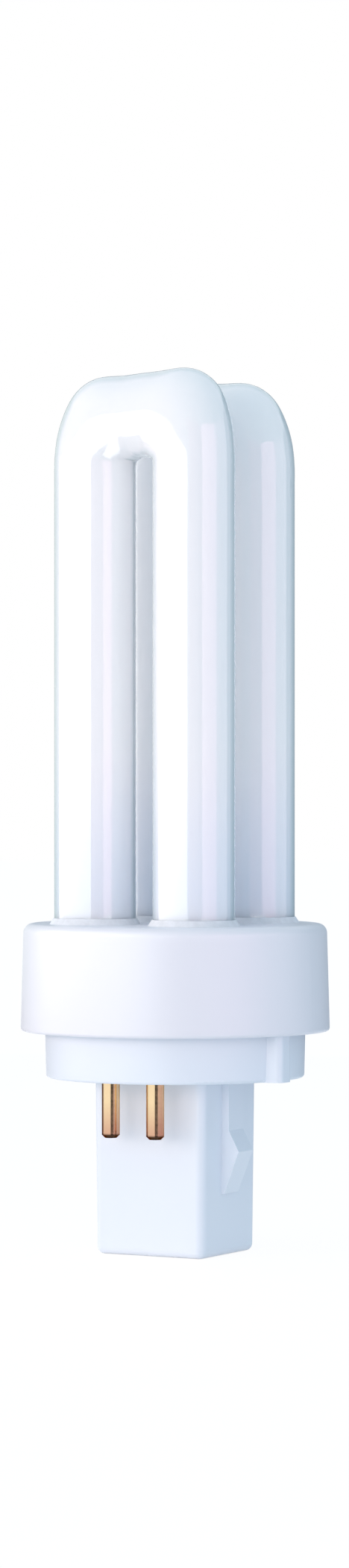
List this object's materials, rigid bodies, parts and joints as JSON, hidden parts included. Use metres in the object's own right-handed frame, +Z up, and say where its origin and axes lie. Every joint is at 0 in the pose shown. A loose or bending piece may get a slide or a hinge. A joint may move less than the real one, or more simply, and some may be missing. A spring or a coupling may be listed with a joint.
{
  "type": "four pin compact fluorescent lamp",
  "caption": "Plug-in compact fluorescent lamp: U-bent opal glass tubes in a white collar on a keyed cap with contact pins and a latching post.",
  "frame": {"origin": "on the lamp's axis, in the plane of the disc's underside, midway between the four contact pins", "axes": "+Z up the glass tubes, away from the post; +X along the pins' short spacing and towards the key; +Y towards the rear U tube"},
  "size_m": [0.0418, 0.0418, 0.1185],
  "materials": {
    "opal_glass": "glossy opal glass, white inside coating",
    "white_plastic": "moulded, glossy",
    "cement": "matt",
    "pin_brass": "bright turned",
    "lead_wire": "drawn wire"
  },
  "bodies": {
    "root": {"glass_envelope": "opal_glass", "collar": "white_plastic", "cap_base": "white_plastic", "basing_cement": "cement", "contact_pin_front_left": "pin_brass", "contact_pin_front_right": "pin_brass", "contact_pin_rear_left": "pin_brass", "contact_pin_rear_right": "pin_brass", "lead_wire_front_left": "lead_wire", "lead_wire_front_right": "lead_wire", "lead_wire_rear_left": "lead_wire", "lead_wire_rear_right": "lead_wire"}
  },
  "joints": []
}
